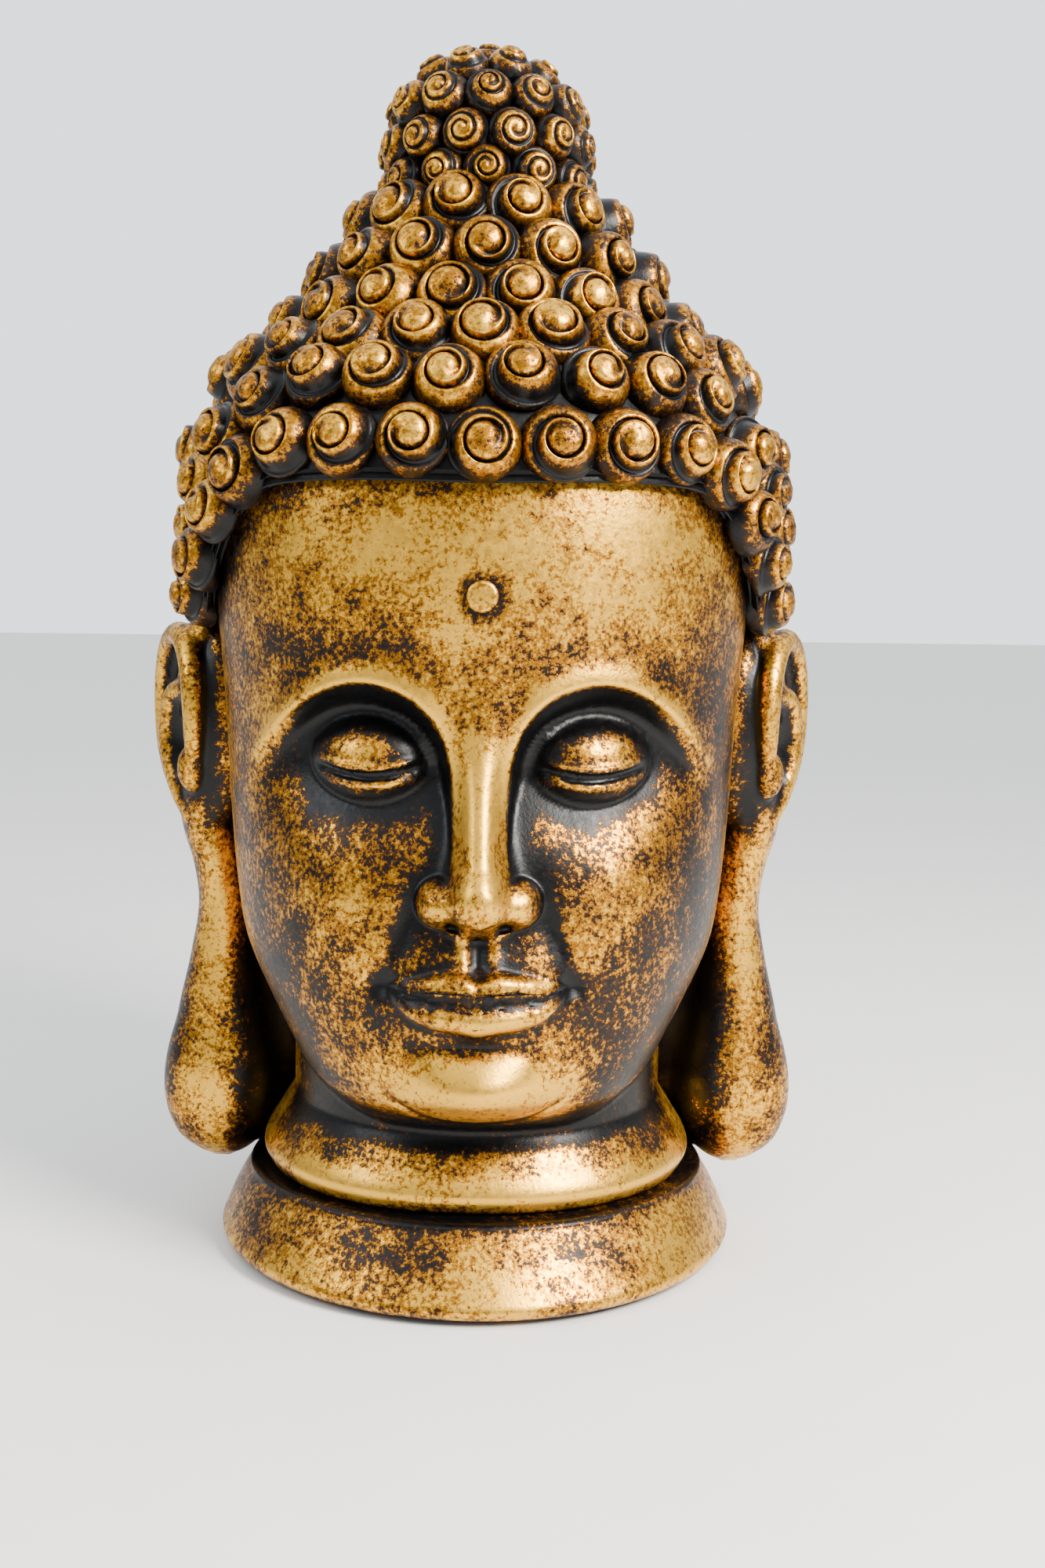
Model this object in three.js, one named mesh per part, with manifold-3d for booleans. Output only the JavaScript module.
// Buddha head statue: a hollow cast head on a flared collar, with a cap of snail curls, a curled
// topknot, two long-lobed ears and an urna dot. The foot is closed by a base plate on felt pads.
// Millimetres, +Z up. The face looks along -Y and the viewer's right is +X. The origin is on the
// surface that the statue stands on, under the middle of the collar.
import * as THREE from 'three';
import { mergeVertices } from 'three/addons/utils/BufferGeometryUtils.js';
import Module from 'manifold-3d';

const wasm = await Module();
wasm.setup();

// ---- Driving dimensions ----
const JOINT_GAP = 0.4; // glue line between pieces that are bonded face to face
const CURL_BED = 1.2; // filler under each row of curls

const PAD = { diameter: 22, thickness: 2, ringRadius: 76, glue: 0.3 };
const COLLAR = { height: 30, rimHalfWidth: 102.5, rimHalfDepth: 110, topFlare: 3, edge: 6, wall: 9 };
const SPIGOT = { height: 14, wall: 5, clearance: 1.6 }; // ring on the collar that enters the neck
const BASE_PLATE = { thickness: 4 };
const BUNG = { radius: 16, lip: 3, lipThickness: 3, recess: 0.6 };
const HEAD = { halfWidth: 104, frontDepth: 104, backDepth: 108, height: 329.6, wall: 8 };
const CAP = { wall: 4.5, crownThickness: 36, seatRim: 5.5 }; // seatRim: ledge round the topknot's foot
const HAIRLINE_DROP = 72; // from the crown of the skull to the front hairline
const CHIN_RISE = 33.6; // chin over the neck joint; the face's equal thirds run from it to the hairline
const TOPKNOT = { halfWidth: 33, height: 54, depthRatio: 1.04 };
const CAP_CURL = { height: 12.4, rowGap: 1.6, spread: 1.24 }; // spread: pitch on a back row over the diameter
const TOPKNOT_CURL = { height: 9, rowGap: 1.2 };
const CROWN_CURL = { diameter: 17, height: 9.8 };
const EAR = { overHairEdge: 7.1, lobeDrop: 6.9, reach: 30, depth: 54, setBack: 10 };
const CONCHA = { width: 10, depth: 15, height: 27, reach: 15, forward: 0.48, drop: 0.2 }; // ear's hollow
const DOWEL = { diameter: 8, inHead: 6, inMate: 8, clearance: 0.4 };
const TOPKNOT_DOWEL = { diameter: 12, depth: 16 };
const URNA = { diameter: 11, thickness: 3 };

// ---- Levels that follow from them ----
const RIM_Z = PAD.thickness;
const NECK_Z = RIM_Z + COLLAR.height + JOINT_GAP;
const CROWN_Z = NECK_Z + HEAD.height;
const HAIRLINE_Z = CROWN_Z - HAIRLINE_DROP;
const SEAT_Z = CROWN_Z + CAP.crownThickness; // flat seat on the cap that carries the topknot
const TOPKNOT_Z = SEAT_Z + JOINT_GAP;
const TOPKNOT_TOP_Z = TOPKNOT_Z + TOPKNOT.height;
const FACE_LENGTH = HAIRLINE_Z - NECK_Z - CHIN_RISE;

const DEGREE = Math.PI / 180;
const clamp01 = (value) => Math.min(1, Math.max(0, value));
const smooth = (value) => clamp01(value) ** 2 * (3 - 2 * clamp01(value));
const bell = (offset, spread) => Math.exp(-((offset / spread) ** 2));

// Reads a table of [position, values...] with a smooth curve through its rows.
function readTable(table, position) {
  const last = table.length - 1;
  let i = 0;
  while (i < last - 1 && table[i + 1][0] < position) i += 1;
  const [a, b] = [table[i], table[i + 1]];
  const before = table[Math.max(i - 1, 0)];
  const after = table[Math.min(i + 2, last)];
  const span = b[0] - a[0];
  const u = clamp01((position - a[0]) / span);
  return a.slice(1).map((value, k) => {
    const startSlope = ((b[k + 1] - before[k + 1]) / (b[0] - before[0])) * span;
    const endSlope = ((after[k + 1] - value) / (after[0] - a[0])) * span;
    const rise = b[k + 1] - value;
    const bend = (1 - u) * (startSlope - rise) - u * (endSlope - rise);
    return value + u * rise + u * (1 - u) * bend;
  });
}

// ---- The oval outlines of the head ----
const NECK_WAIST = 0.085; // share of the head's height where the neck is narrowest
// Share of the head's height, then shares of its half width, front depth and back depth.
const HEAD_OUTLINE = [
  [0, 0.79, 0.8, 0.71],
  [0.02, 0.815, 0.82, 0.725],
  [0.055, 0.755, 0.76, 0.7],
  [0.085, 0.7, 0.71, 0.69],
  [0.104, 0.7, 0.82, 0.7],
  [0.128, 0.735, 0.93, 0.725],
  [0.18, 0.8, 0.985, 0.775],
  [0.255, 0.87, 0.99, 0.835],
  [0.33, 0.91, 0.975, 0.885],
  [0.417, 0.935, 0.965, 0.93],
  [0.5, 0.95, 0.955, 0.965],
  [0.575, 0.965, 0.965, 0.985],
  [0.672, 0.99, 0.985, 1],
  [0.782, 0.985, 0.975, 0.985],
  [0.851, 0.945, 0.93, 0.94],
  [0.909, 0.825, 0.81, 0.82],
  [0.955, 0.63, 0.62, 0.62],
  [0.982, 0.42, 0.41, 0.41],
  [1, 0, 0, 0],
];
// Above the shoulder the cap draws in like a bell to its seat: share of the height between them, and
// share of the way from the girth at the shoulder to the seat's.
const SHOULDER = 0.851;
const CAP_BELL = [[0, 0], [0.22, 0.183], [0.4, 0.444], [0.61, 0.659], [0.8, 0.802], [1, 1]];
// Share of the topknot's height, share of its half width.
const TOPKNOT_OUTLINE = [[0, 0.97], [0.12, 1], [0.5, 1], [0.77, 0.91], [0.93, 0.55], [1, 0]];

function headOutline(z) {
  const [width, front, back] = readTable(HEAD_OUTLINE, (z - NECK_Z) / HEAD.height);
  return { width: width * HEAD.halfWidth, front: front * HEAD.frontDepth, back: back * HEAD.backDepth };
}

function grown({ width, front, back }, by) {
  return { width: width + by, front: front + by, back: back + by };
}

function between(low, high, share) {
  return {
    width: low.width + (high.width - low.width) * share,
    front: low.front + (high.front - low.front) * share,
    back: low.back + (high.back - low.back) * share,
  };
}

// The neck is cast round a straight bore, which the collar's spigot enters.
const neckBore = () => grown(headOutline(NECK_Z + NECK_WAIST * HEAD.height), -HEAD.wall);

function topknotOutline(z) {
  const [share] = readTable(TOPKNOT_OUTLINE, (z - TOPKNOT_Z) / TOPKNOT.height);
  const width = share * TOPKNOT.halfWidth;
  return { width, front: width * TOPKNOT.depthRatio, back: width * TOPKNOT.depthRatio };
}

function capOutline(z) {
  const shoulderZ = NECK_Z + SHOULDER * HEAD.height;
  const outline = grown(headOutline(Math.min(z, shoulderZ)), CAP.wall);
  if (z <= shoulderZ) return outline;
  const [share] = readTable(CAP_BELL, (z - shoulderZ) / (SEAT_Z - shoulderZ));
  return between(outline, grown(topknotOutline(TOPKNOT_Z), CAP.seatRim), share);
}

// The point of an oval outline at an azimuth counted from the face towards +X, in degrees.
function ovalPoint({ width, front, back }, azimuth, z) {
  const across = Math.sin(azimuth * DEGREE);
  const ahead = Math.cos(azimuth * DEGREE);
  return new THREE.Vector3(width * across, -ahead * (ahead > 0 ? front : back), z);
}

// Height of the hair's edge above the rest plane: over the brow, down past the temple to the ear,
// and behind the ear down to the nape. Azimuth, share of the hairline's height over the neck joint.
const HAIR_EDGE = [
  [0, 1], [42, 1], [53, 0.965], [66, 0.887], [79, 0.81], [90, 0.79], [101, 0.76],
  [112, 0.55], [126, 0.32], [142, 0.26], [180, 0.25],
];
const hairEdgeZ = (azimuth) =>
  NECK_Z + (HAIRLINE_Z - NECK_Z) * readTable(HAIR_EDGE, Math.abs(azimuth))[0];

const EAR_TOP = hairEdgeZ(90) + EAR.overHairEdge;
const EAR_LENGTH = EAR_TOP - (NECK_Z - EAR.lobeDrop);

// ---- Face relief, on equal thirds from hairline to chin ----
function faceRelief(x, z) {
  const third = FACE_LENGTH / 3;
  const browZ = HAIRLINE_Z - third;
  const noseZ = browZ - third;
  const chinZ = noseZ - third;
  const eyeZ = browZ - third / 4;
  const mouthZ = noseZ - third / 3;
  const side = Math.abs(x);
  const eyeX = 0.37 * HEAD.halfWidth;
  const down = clamp01((browZ - z) / third);
  const ridge = (5 + 19 * down ** 1.2) * smooth((browZ + 12 - z) / 14) * (1 - smooth((noseZ - 1 - z) / 9));
  const nose = ridge * bell(x, 8 + 5 * down) + 7 * bell(side - 14, 6) * bell(z - noseZ - 7, 7);
  const brow = 3.5 * bell(z - browZ - 5 + ((side - eyeX) / 14) ** 2, 5) * smooth((72 - side) / 12);
  const eye = bell(side - eyeX, 20) * (-7 * bell(z - eyeZ - 3, 13) + 7 * bell(z - eyeZ, 9));
  const lips = bell(x, 22) * (5 * bell(z - mouthZ - 5, 5) + 5.5 * bell(z - mouthZ + 7, 6));
  const mouth = 5 * bell(x, 34) * bell(z - mouthZ, 22);
  const chin = 8 * bell(x, 26) * bell(z - chinZ - 17, 13);
  const cheek = 3 * bell(side - 0.5 * HEAD.halfWidth, 22) * bell(z - eyeZ + 42, 26);
  return nose + brow + eye + lips + mouth + chin + cheek;
}

// ---- Geometry helpers ----
const range = (count) => Array.from({ length: count }, (_, i) => i);
const azimuths = (count) => range(count).map((i) => (360 / count) * i);

// A closed solid of rings of points: each ring joins the next, and the last joins the first.
// Rings that shrink to a point close the shape there.
function ringSolid(rings) {
  const around = rings[0].length;
  const positions = rings.flat().flatMap((point) => point.toArray());
  const index = [];
  const addTriangle = (a, b, c) => {
    const [p, q, r] = [a, b, c].map((at) => rings[Math.floor(at / around)][at % around]);
    if (p.distanceTo(q) > 1e-6 && q.distanceTo(r) > 1e-6 && r.distanceTo(p) > 1e-6) index.push(a, b, c);
  };
  rings.forEach((_, row) => {
    const next = (row + 1) % rings.length;
    range(around).forEach((i) => {
      const j = (i + 1) % around;
      const [a, b, c, d] = [row * around + i, row * around + j, next * around + j, next * around + i];
      addTriangle(a, b, c);
      addTriangle(a, c, d);
    });
  });
  const geometry = new THREE.BufferGeometry();
  geometry.setAttribute('position', new THREE.Float32BufferAttribute(positions, 3));
  geometry.setIndex(index);
  return facingOut(geometry);
}

// Turns a closed geometry's faces outwards if they point in.
function facingOut(geometry) {
  const merged = welded(geometry);
  const place = merged.getAttribute('position');
  const [a, b, c] = range(3).map(() => new THREE.Vector3());
  const index = merged.index.array;
  let volume = 0;
  for (let i = 0; i < index.length; i += 3) {
    [a, b, c].forEach((corner, k) => corner.fromBufferAttribute(place, index[i + k]));
    volume += a.dot(b.cross(c));
  }
  if (volume < 0) merged.setIndex(Array.from(index).reverse());
  return merged;
}

function welded(geometry) {
  const bare = new THREE.BufferGeometry();
  bare.setAttribute('position', geometry.getAttribute('position').clone());
  if (geometry.index) bare.setIndex(geometry.index.clone());
  return mergeVertices(bare, 1e-4);
}

// An upright solid of revolution from its [radius, height] outline, drawn out to an oval if asked.
function turned(outline, segments, depthRatio = 1) {
  const points = outline.map(([radius, height]) => new THREE.Vector2(radius, height));
  const geometry = new THREE.LatheGeometry(points, segments);
  geometry.rotateX(Math.PI / 2);
  geometry.scale(1, depthRatio, 1);
  return facingOut(geometry);
}

function toSolid(geometry) {
  const merged = facingOut(geometry);
  const vertProperties = new Float32Array(merged.getAttribute('position').array);
  const triVerts = new Uint32Array(merged.index.array);
  return new wasm.Manifold(new wasm.Mesh({ numProp: 3, vertProperties, triVerts }));
}

function toGeometry(solid) {
  const { vertProperties, triVerts } = solid.getMesh();
  const geometry = new THREE.BufferGeometry();
  geometry.setAttribute('position', new THREE.BufferAttribute(vertProperties, 3));
  geometry.setIndex(new THREE.BufferAttribute(triVerts, 1));
  return geometry;
}

const cutAway = (geometry, ...tools) =>
  toGeometry(tools.reduce((solid, tool) => solid.subtract(toSolid(tool)), toSolid(geometry)));

// ---- Head shell, hair cap and collar ----
// Columns and rows of the skins: close together over the face, wide apart under the hair.
const FACE_COLUMNS = [
  ...range(24).map((i) => -66 + 5.5 * i), ...range(15).map((i) => 66 + (228 / 15) * i),
];
const HEAD_ROWS = [
  ...range(36).map((i) => (0.782 * i) / 36), ...HEAD_OUTLINE.map(([share]) => share).filter((t) => t > 0.78),
];
const BLANK_SAG = 0.9; // a blank's flat facets dip this far inside the oval
const CAVITY_ROWS = [1, 0.955, 0.9, 0.82, 0.7, 0.55, 0.4, 0.25, 0.17, 0.12, NECK_WAIST, 0];

function headSkin(azimuth, z) {
  const outline = headOutline(z);
  const point = ovalPoint(outline, azimuth, z);
  const ahead = Math.cos(azimuth * DEGREE);
  const isFace = ahead > 0 ? smooth(ahead * 2) * smooth((HAIRLINE_Z - z) / 12) : 0;
  const overNeck = smooth((z - NECK_Z - NECK_WAIST * HEAD.height) / 6);
  point.y -= faceRelief(point.x, z) * isFace * overNeck;
  return point;
}

// The solid of the head without its hollow, grown by a margin, to cut its neighbours to fit.
function headBlank(margin) {
  const columns = azimuths(36);
  const skins = HEAD_OUTLINE.map(([share]) => {
    const z = NECK_Z + share * HEAD.height;
    const isCrown = share === 1;
    const outline = isCrown ? { width: 0, front: 0, back: 0 } : grown(headOutline(z), margin + BLANK_SAG);
    return columns.map((azimuth) => ovalPoint(outline, azimuth, z + (isCrown ? margin + BLANK_SAG : 0)));
  });
  const foot = columns.map(() => new THREE.Vector3(0, 0, NECK_Z));
  return ringSolid([foot, ...skins]);
}

function headShell() {
  const outer = HEAD_ROWS.map((share) =>
    FACE_COLUMNS.map((azimuth) => headSkin(azimuth, NECK_Z + share * HEAD.height)));
  const hollowTop = CROWN_Z - HEAD.wall;
  const inner = CAVITY_ROWS.map((share, row) => FACE_COLUMNS.map((azimuth) => {
    const z = NECK_Z + share * (hollowTop - NECK_Z);
    const outline = share > NECK_WAIST ? grown(headOutline(z), -HEAD.wall) : neckBore();
    return ovalPoint(row === 0 ? { width: 0, front: 0, back: 0 } : outline, azimuth, z);
  }));
  return cutAway(ringSolid([...outer, ...inner]), earDowel(1, DOWEL.clearance), earDowel(-1, DOWEL.clearance));
}

// The solid that the cap's outer skin encloses, grown by a margin.
function capBlank(margin = 0) {
  const columns = azimuths(40);
  const shoulderZ = NECK_Z + SHOULDER * HEAD.height;
  const sideShares = [0, 0.17, 0.34, 0.5, 0.67, 0.84, 1];
  const bellShares = [0.11, 0.22, 0.31, 0.4, 0.5, 0.61, 0.7, 0.8, 0.9, 1];
  const edgeZ = (azimuth) => hairEdgeZ(azimuth > 180 ? azimuth - 360 : azimuth) - margin;
  const levels = [
    ...sideShares.map((share) => (azimuth) => edgeZ(azimuth) + share * (shoulderZ - edgeZ(azimuth))),
    ...bellShares.map((share) => () => shoulderZ + share * (SEAT_Z - shoulderZ)),
  ];
  const skin = levels.map((level) => columns.map((azimuth) =>
    ovalPoint(grown(capOutline(level(azimuth)), margin), azimuth, level(azimuth))));
  const ledge = columns.map((azimuth) =>
    ovalPoint(grown(capOutline(edgeZ(azimuth)), -CAP.wall - HEAD.wall / 2), azimuth, edgeZ(azimuth)));
  const foot = columns.map(() => new THREE.Vector3(0, 0, HAIRLINE_Z - HAIRLINE_DROP));
  const seat = columns.map(() => new THREE.Vector3(0, 0, SEAT_Z));
  return ringSolid([foot, ledge, ...skin, seat]);
}

const hairCap = () => cutAway(capBlank(), headBlank(JOINT_GAP), topknotDowel(DOWEL.clearance));

function collar() {
  const neck = grown(headOutline(NECK_Z), COLLAR.topFlare);
  const spigot = grown(neckBore(), -SPIGOT.clearance);
  const rim = { width: COLLAR.rimHalfWidth, front: COLLAR.rimHalfDepth, back: COLLAR.rimHalfDepth };
  const topZ = RIM_Z + COLLAR.height;
  const plateZ = RIM_Z + BASE_PLATE.thickness + JOINT_GAP;
  const spigotTop = NECK_Z + SPIGOT.height;
  const rows = [
    ...[0, 30, 60, 90].map((angle) => [
      grown(rim, -COLLAR.edge * (1 - Math.sin(angle * DEGREE))),
      RIM_Z + COLLAR.edge * (1 - Math.cos(angle * DEGREE)),
    ]),
    ...[0.25, 0.5, 0.75, 0.92].map((share) => [
      between(rim, neck, share ** 0.8), RIM_Z + COLLAR.edge + share * (COLLAR.height - COLLAR.edge),
    ]),
    [neck, topZ - 1],
    [grown(neck, -1), topZ],
    [spigot, topZ],
    [spigot, spigotTop],
    [grown(spigot, -SPIGOT.wall), spigotTop],
    [grown(spigot, -SPIGOT.wall), plateZ],
    [grown(rim, -COLLAR.wall), plateZ],
    [grown(rim, -COLLAR.wall), RIM_Z],
  ];
  return ringSolid(rows.map(([outline, z]) => azimuths(48).map((azimuth) => ovalPoint(outline, azimuth, z))));
}

// ---- Foot ----
function basePlate() {
  const width = COLLAR.rimHalfWidth - COLLAR.wall - JOINT_GAP;
  const depth = COLLAR.rimHalfDepth - COLLAR.wall - JOINT_GAP;
  const topZ = RIM_Z + BASE_PLATE.thickness;
  const plate = turned([[0, RIM_Z], [width, RIM_Z], [width, topZ], [0, topZ]], 48, depth / width);
  const hole = new THREE.CylinderGeometry(BUNG.radius, BUNG.radius, 4 * BASE_PLATE.thickness, 32);
  hole.rotateX(Math.PI / 2).translate(0, 0, topZ);
  return cutAway(plate, hole);
}

function fillerBung() {
  const lipZ = RIM_Z + BASE_PLATE.thickness + JOINT_GAP;
  const shaft = BUNG.radius - JOINT_GAP;
  const bottomZ = RIM_Z + BUNG.recess;
  return turned([
    [0, bottomZ], [shaft, bottomZ], [shaft, lipZ], [shaft + BUNG.lip, lipZ],
    [shaft + BUNG.lip - 1, lipZ + BUNG.lipThickness], [0, lipZ + BUNG.lipThickness],
  ], 32);
}

function feltPad(azimuth) {
  const radius = PAD.diameter / 2;
  const height = PAD.thickness - PAD.glue;
  const pad = new THREE.CylinderGeometry(radius, radius, height, 24);
  const direction = azimuth * DEGREE;
  pad.rotateX(Math.PI / 2);
  return pad.translate(PAD.ringRadius * Math.sin(direction), -PAD.ringRadius * Math.cos(direction), height / 2);
}

// ---- Topknot ----
function topknotCore() {
  const rows = [0, 0.06, 0.12, 0.3, 0.5, 0.65, 0.77, 0.86, 0.93, 1].map((share) => {
    const z = TOPKNOT_Z + share * TOPKNOT.height;
    return azimuths(28).map((azimuth) => ovalPoint(topknotOutline(z), azimuth, z));
  });
  const foot = azimuths(28).map(() => new THREE.Vector3(0, 0, TOPKNOT_Z));
  return cutAway(ringSolid([foot, ...rows]), topknotDowel(DOWEL.clearance));
}

function topknotDowel(clearance = 0) {
  const radius = TOPKNOT_DOWEL.diameter / 2 + clearance;
  const length = 2 * (TOPKNOT_DOWEL.depth + clearance);
  return new THREE.CylinderGeometry(radius, radius, length, 20).rotateX(Math.PI / 2).translate(0, 0, SEAT_Z);
}

function crownCurl() {
  const radius = CROWN_CURL.diameter / 2;
  const z = TOPKNOT_TOP_Z + JOINT_GAP + 0.4;
  const high = CROWN_CURL.height - 0.8;
  return turned([
    [0, z], [0.9 * radius, z], [radius, z + 0.3 * high], [0.85 * radius, z + 0.62 * high],
    [0.5 * radius, z + 0.93 * high], [0, z + high],
  ], 20);
}

// ---- Rows of curls ----
// Levels of the rows. Front rows arch over the brow and run down past the temples to the ears. Full
// rings go round above them, evenly spaced up to the seat. Back rows fill the back down to the nape.
const FRONT_ROWS = [
  { rise: 13, reach: 85, drop: 1, curls: 13 },
  { rise: 35, reach: 99, drop: 0.88, curls: 14 },
];
const RINGS = { count: 4, backDrop: 22, last: 0.93, curls: [22, 18, 15, 12] };
const BACK_ROWS = { count: 9, napeRise: 14, clearance: 3, lastStart: 150 };
const TOPKNOT_RINGS = { count: 4, first: 0.2, last: 0.93, curls: [13, 13, 12, 8] };

const frontLevel = ({ rise, drop }) => (azimuth) =>
  HAIRLINE_Z + rise - drop * (HAIRLINE_Z - hairEdgeZ(azimuth));

// Level where the rings start, which is also the first back row's level.
const ringStart = (azimuth) =>
  HAIRLINE_Z + FRONT_ROWS[1].rise - RINGS.backDrop * smooth((Math.abs(azimuth) - 25) / 85);

// Levels of the full rings at an azimuth, evenly spaced along the cap's skin.
function ringLevels(azimuth) {
  const steps = 60;
  const start = ringStart(azimuth);
  const levels = range(steps + 1).map((i) => start + ((SEAT_Z - start) * i) / steps);
  const points = levels.map((z) => ovalPoint(capOutline(z), azimuth, z));
  const lengths = [0];
  points.slice(1).forEach((point, i) => lengths.push(lengths[i] + point.distanceTo(points[i])));
  const whole = lengths[steps] * RINGS.last;
  return range(RINGS.count).map((ring) => {
    const wanted = (whole * (ring + 1)) / RINGS.count;
    const i = lengths.findIndex((length) => length >= wanted);
    const share = (wanted - lengths[i - 1]) / (lengths[i] - lengths[i - 1]);
    return levels[i - 1] + share * (levels[i] - levels[i - 1]);
  });
}
const RING_TABLE = range(37).map((i) => [5 * i, ...ringLevels(5 * i)]);
const ringLevel = (ring) => (azimuth) => {
  const turned = Math.abs(((azimuth + 540) % 360) - 180);
  return readTable(RING_TABLE, turned)[ring];
};

const BACK_TOP = ringStart(180);
const BACK_PITCH = (BACK_TOP - hairEdgeZ(180) - BACK_ROWS.napeRise) / (BACK_ROWS.count - 1);
const backLevel = (row) => BACK_TOP - BACK_PITCH * row;

// Topknot rings keep one spacing along the core's skin as they go over its top.
const topknotLevel = (ring) => TOPKNOT_Z + TOPKNOT.height
  * (TOPKNOT_RINGS.first + ((TOPKNOT_RINGS.last - TOPKNOT_RINGS.first) * ring) / (TOPKNOT_RINGS.count - 1));

// The least distance between two rows on one outline.
function rowDistance(outline, levelA, levelB, from, to) {
  const place = (level, azimuth) => ovalPoint(outline(level(azimuth)), azimuth, level(azimuth));
  const tries = range(19).map((i) => from + ((to - from) * i) / 18);
  return Math.min(...tries.map((azimuth) =>
    place(levelA, azimuth).distanceTo(place(levelB, azimuth))));
}

const CAP_CURL_DIAMETER = Math.min(
  rowDistance(capOutline, frontLevel(FRONT_ROWS[0]), frontLevel(FRONT_ROWS[1]), 0, FRONT_ROWS[0].reach),
  rowDistance(capOutline, frontLevel(FRONT_ROWS[1]), ringLevel(0), 0, FRONT_ROWS[1].reach),
  ...range(RINGS.count - 1).map((ring) =>
    rowDistance(capOutline, ringLevel(ring), ringLevel(ring + 1), 0, 180)),
  rowDistance(capOutline, () => BACK_TOP, ringLevel(0), FRONT_ROWS[1].reach, 180),
  BACK_PITCH,
) - CAP_CURL.rowGap;
const TOPKNOT_CURL_DIAMETER = Math.min(...range(TOPKNOT_RINGS.count - 1).map((ring) =>
  rowDistance(topknotOutline, () => topknotLevel(ring), () => topknotLevel(ring + 1), 0, 90),
)) - TOPKNOT_CURL.rowGap;

// A row is one string of beads on an outline: each bead is a curl, and a low web joins it to the next.
// Azimuths run from `from` to `to`, or all the way round if the row is a ring, which `turn` staggers.
// Where a row states no number of curls, its length and their spread give it.
function curlRow({ outline, levelAt, diameter, height, spread, curls, from = -180, to = 180, turn = 0 }) {
  const place = (azimuth, rise = 0) => {
    const z = levelAt(azimuth) + rise;
    return ovalPoint(outline(z), azimuth, z);
  };
  const isRing = to - from >= 360;
  const steps = 120;
  const length = range(steps).reduce((sum, i) => {
    const [a, b] = [i, i + 1].map((k) => place(from + ((to - from) * k) / steps));
    return sum + a.distanceTo(b);
  }, 0);
  const count = curls ?? Math.max(1, Math.round(length / (diameter * spread)));
  const shares = range(count).flatMap((bead) => [[bead, 0], [bead + 0.26, 1], [bead + 0.74, 1]]);
  if (!isRing) shares.push([count, 0]);
  const rings = shares.map(([along, fullness]) => {
    const azimuth = from + ((to - from) * (along + turn)) / count;
    const point = place(azimuth);
    const forward = place(azimuth + 1).sub(place(azimuth - 1)).normalize();
    const upward = place(azimuth, 1).sub(place(azimuth, -1));
    const outward = forward.clone().cross(upward).normalize();
    const acrossRow = outward.clone().cross(forward).normalize();
    const width = diameter * (0.3 + 0.7 * fullness);
    const high = height * (0.22 + 0.78 * fullness);
    return [[-0.5, 0], [0.5, 0], [0.3, 1], [-0.3, 1]].map(([across, up]) => point.clone()
      .addScaledVector(acrossRow, across * width)
      .addScaledVector(outward, CURL_BED + up * high));
  });
  return isRing ? ringSolid(rings) : chainSolid(rings);
}

// A string of sections with flat ends.
function chainSolid(rings) {
  const middle = (ring) => ring.reduce((sum, point) => sum.add(point), new THREE.Vector3()).divideScalar(4);
  const ends = [rings[0], rings[rings.length - 1]].map((ring) => ring.map(() => middle(ring)));
  return ringSolid([ends[0], ...rings, ends[1]]);
}

const capCurls = { outline: capOutline, diameter: CAP_CURL_DIAMETER, ...CAP_CURL };
const topknotCurls = { outline: topknotOutline, diameter: TOPKNOT_CURL_DIAMETER, ...TOPKNOT_CURL };

const frontRow = (row) =>
  curlRow({ ...capCurls, levelAt: frontLevel(row), from: -row.reach, to: row.reach, curls: row.curls });

// The first ring has a curl right in front, the second a gap there, and so on up.
const stagger = (ring, curls) => ((ring + curls) % 2 === 1 ? 0 : 0.5);

function capRing(ring) {
  const curls = RINGS.curls[ring];
  return curlRow({ ...capCurls, levelAt: ringLevel(ring), curls, turn: stagger(ring, curls) });
}

// A back row starts where it is clear of the hair's edge, the upper front row and the back of the ear.
function backRow(row) {
  const level = backLevel(row);
  const upperFront = FRONT_ROWS[1];
  const isClear = (azimuth) => {
    const overEdge = hairEdgeZ(azimuth) < level - BACK_ROWS.napeRise;
    const pastFront = azimuth > upperFront.reach + BACK_ROWS.clearance;
    const overFront = frontLevel(upperFront)(azimuth) < level - BACK_PITCH;
    const overEar = level > EAR_TOP + BACK_PITCH / 2;
    const pastEar = ovalPoint(capOutline(level), azimuth, level).y > earBack(level) + BACK_ROWS.clearance;
    return overEdge && (pastFront || overFront) && (overEar || pastEar);
  };
  const start = range(120).map((i) => 60 + i).find(isClear) ?? BACK_ROWS.lastStart;
  return curlRow({ ...capCurls, levelAt: () => level, from: start, to: 360 - start });
}

function topknotRing(ring) {
  const curls = TOPKNOT_RINGS.curls[ring];
  return curlRow({ ...topknotCurls, levelAt: () => topknotLevel(ring), curls, turn: stagger(ring, curls) });
}

// ---- Ears ----
// Share of the ear's length from its top, then its inner side, as millimetres from the head's half
// width, its outer side, as a share of the reach, and half its depth, as a share of the depth.
const EAR_OUTLINE = [
  [0, 8, 0.73, 0.2], [0.032, -4, 0.9, 0.38], [0.097, -8, 1, 0.5], [0.244, -8, 0.87, 0.47],
  [0.382, -10, 0.57, 0.38], [0.51, -11, 0.32, 0.29], [0.612, -13, 0.42, 0.28], [0.726, -18, 0.6, 0.31],
  [0.874, -21, 0.73, 0.33], [0.957, -16, 0.57, 0.26], [1, -7, 0.07, 0.1],
];

// How far back the ear reaches at a level.
function earBack(level) {
  const [, , halfDepth] = readTable(EAR_OUTLINE, clamp01((EAR_TOP - level) / EAR_LENGTH));
  return EAR.setBack + halfDepth * EAR.depth;
}

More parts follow.
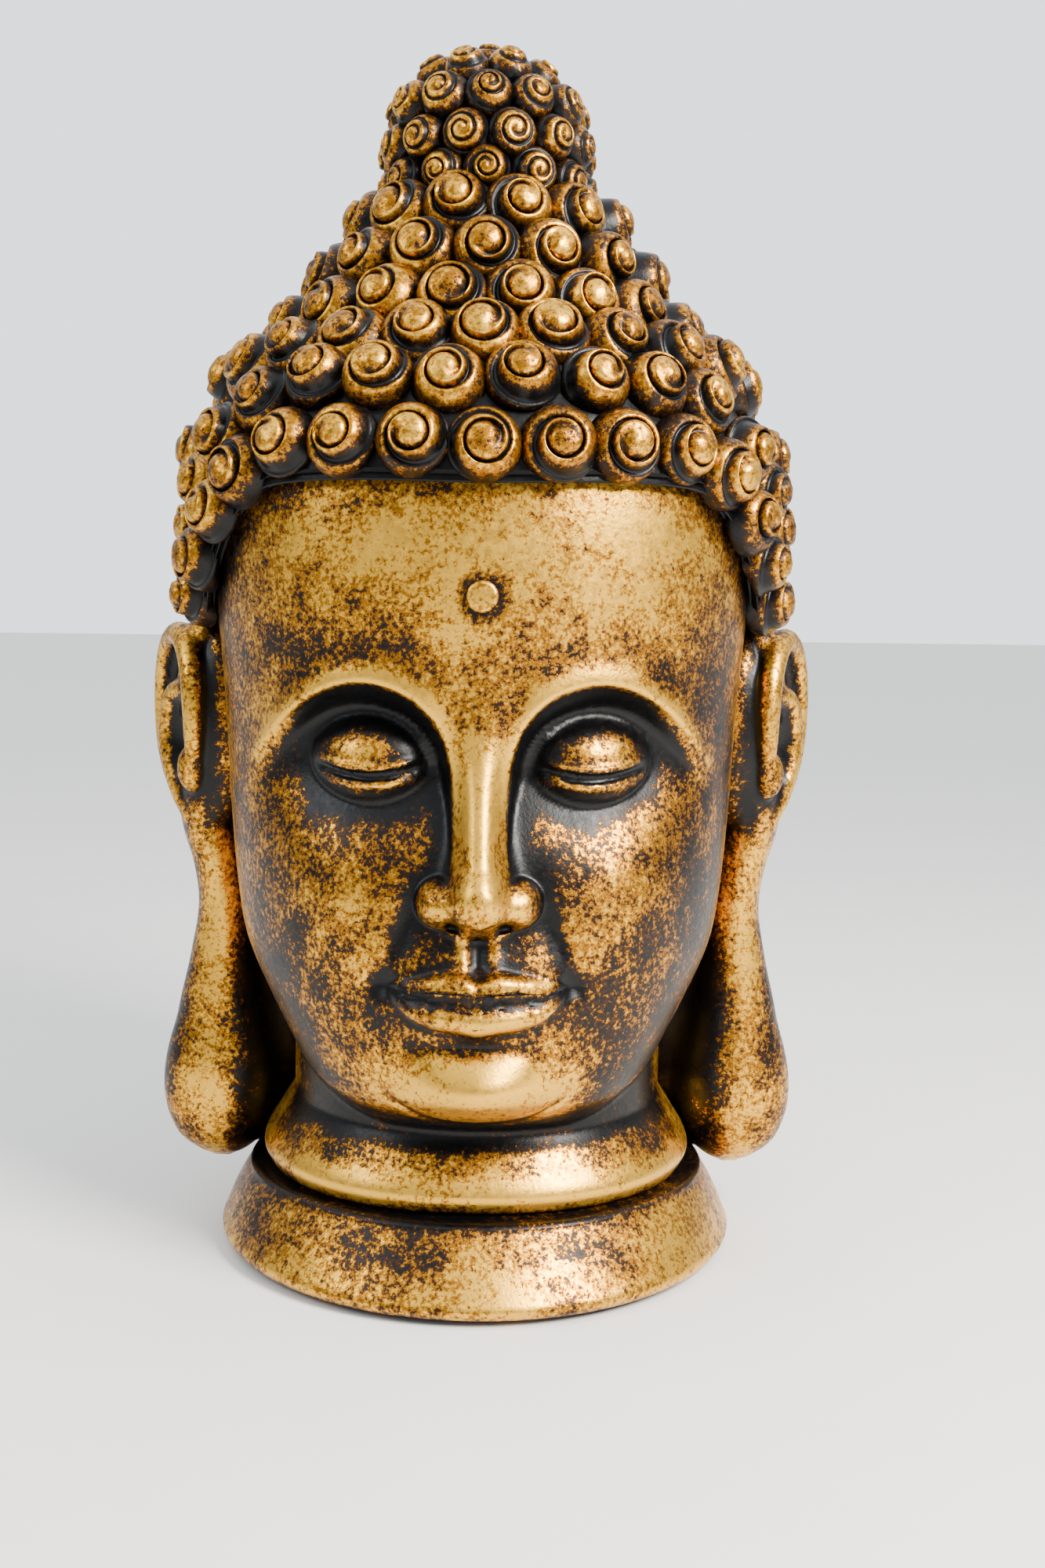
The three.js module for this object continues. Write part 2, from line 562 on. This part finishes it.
function ear(side) {
  const rings = EAR_OUTLINE.map(([share, inner, outer, halfDepth]) => {
    const [low, high] = [HEAD.halfWidth + inner, HEAD.halfWidth + outer * EAR.reach];
    return azimuths(14).map((angle) => new THREE.Vector3(
      side * ((low + high) / 2 + ((high - low) / 2) * Math.cos(angle * DEGREE)),
      EAR.setBack + halfDepth * EAR.depth * Math.sin(angle * DEGREE),
      EAR_TOP - share * EAR_LENGTH,
    ));
  });
  const ends = [rings[0], rings[rings.length - 1]].map((ring) => {
    const middle = ring.reduce((sum, point) => sum.add(point), new THREE.Vector3()).divideScalar(ring.length);
    return ring.map(() => middle);
  });
  const concha = new THREE.SphereGeometry(1, 14, 10).scale(CONCHA.width, CONCHA.depth, CONCHA.height)
    .translate(side * (HEAD.halfWidth + CONCHA.reach), EAR.setBack - CONCHA.forward * EAR.depth,
      EAR_TOP - CONCHA.drop * EAR_LENGTH);
  const blank = ringSolid([ends[0], ...rings, ends[1]]);
  return cutAway(blank, headBlank(JOINT_GAP), capBlank(JOINT_GAP), concha, earDowel(side, DOWEL.clearance));
}

function earDowel(side, clearance = 0) {
  const z = EAR_TOP - 0.24 * EAR_LENGTH;
  const surface = headOutline(z).width;
  const length = DOWEL.inHead + DOWEL.inMate + 2 * clearance;
  const radius = DOWEL.diameter / 2 + clearance;
  const middle = surface + (DOWEL.inMate - DOWEL.inHead) / 2;
  return new THREE.CylinderGeometry(radius, radius, length, 16).rotateZ(Math.PI / 2)
    .translate(side * middle, EAR.setBack, z);
}

function urnaDot() {
  const z = HAIRLINE_Z - FACE_LENGTH / 6;
  const front = headSkin(0, z).y - JOINT_GAP;
  const disc = new THREE.CylinderGeometry(URNA.diameter / 2, 0.42 * URNA.diameter, URNA.thickness, 20);
  return disc.translate(0, front - URNA.thickness / 2, z);
}

// ---- Materials ----
const gildedResin = () => new THREE.MeshStandardMaterial({ color: 0xa67a32, roughness: 0.42, metalness: 0.7 });
const darkResin = () => new THREE.MeshStandardMaterial({ color: 0x2a2623, roughness: 0.5, metalness: 0.1 });
const plateBoard = () => new THREE.MeshStandardMaterial({ color: 0x1e1d1c, roughness: 0.8, metalness: 0 });
const rubber = () => new THREE.MeshStandardMaterial({ color: 0x161616, roughness: 0.7, metalness: 0 });
const felt = () => new THREE.MeshStandardMaterial({ color: 0x1b1b1d, roughness: 0.95, metalness: 0 });
const pine = () => new THREE.MeshStandardMaterial({ color: 0xc9a878, roughness: 0.7, metalness: 0 });

// ---- Assembly ----
const statue = new THREE.Group();
function add(name, geometry, material) {
  const mesh = new THREE.Mesh(geometry, material);
  mesh.geometry.computeVertexNormals();
  mesh.name = name;
  statue.add(mesh);
}

add('head_shell', headShell(), gildedResin());
add('collar', collar(), gildedResin());
add('hair_cap', hairCap(), darkResin());
FRONT_ROWS.forEach((row, i) => add(`front_curl_row_${i + 1}`, frontRow(row), gildedResin()));
range(RINGS.count).forEach((ring) => add(`cap_curl_ring_${ring + 1}`, capRing(ring), gildedResin()));
range(BACK_ROWS.count).forEach((row) => add(`back_curl_row_${row + 1}`, backRow(row), gildedResin()));
add('topknot_core', topknotCore(), darkResin());
range(TOPKNOT_RINGS.count).forEach((ring) =>
  add(`topknot_curl_ring_${ring + 1}`, topknotRing(ring), gildedResin()));
add('crown_curl', crownCurl(), gildedResin());
add('right_ear', ear(-1), gildedResin());
add('left_ear', ear(1), gildedResin());
add('urna_dot', urnaDot(), gildedResin());
add('base_plate', basePlate(), plateBoard());
add('filler_bung', fillerBung(), rubber());
[45, 135, 225, 315].forEach((azimuth, i) => add(`felt_pad_${i + 1}`, feltPad(azimuth), felt()));
add('right_ear_dowel', earDowel(-1), pine());
add('left_ear_dowel', earDowel(1), pine());
add('topknot_dowel', topknotDowel(), pine());

export default statue;
